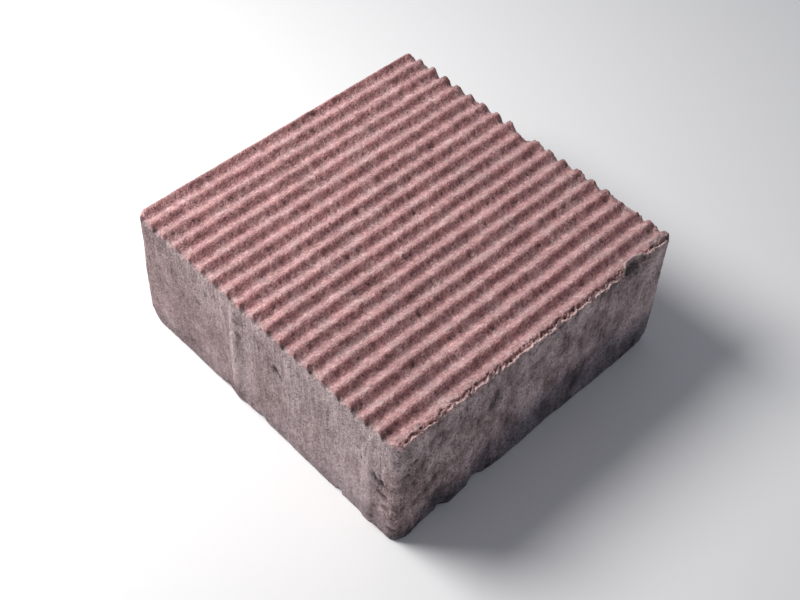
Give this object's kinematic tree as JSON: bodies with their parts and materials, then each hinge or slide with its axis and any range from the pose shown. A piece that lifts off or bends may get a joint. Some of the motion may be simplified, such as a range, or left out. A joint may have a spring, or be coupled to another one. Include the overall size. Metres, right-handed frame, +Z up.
{
  "type": "tactile paving slab",
  "caption": "Square concrete paving slab with a top face of parallel rounded ribs as a tactile guide surface, and upright spacer nibs on its sides.",
  "frame": {"origin": "centre of the underside, on the surface the slab lies on", "axes": "+Z up out of the ribbed face, X across the ribs, Y along the ribs"},
  "size_m": [0.2012, 0.2012, 0.085],
  "materials": {
    "concrete": "matt pressed concrete, coloured red-pink, sandy grain"
  },
  "bodies": {
    "root": {"paving_slab": "concrete"}
  },
  "joints": []
}
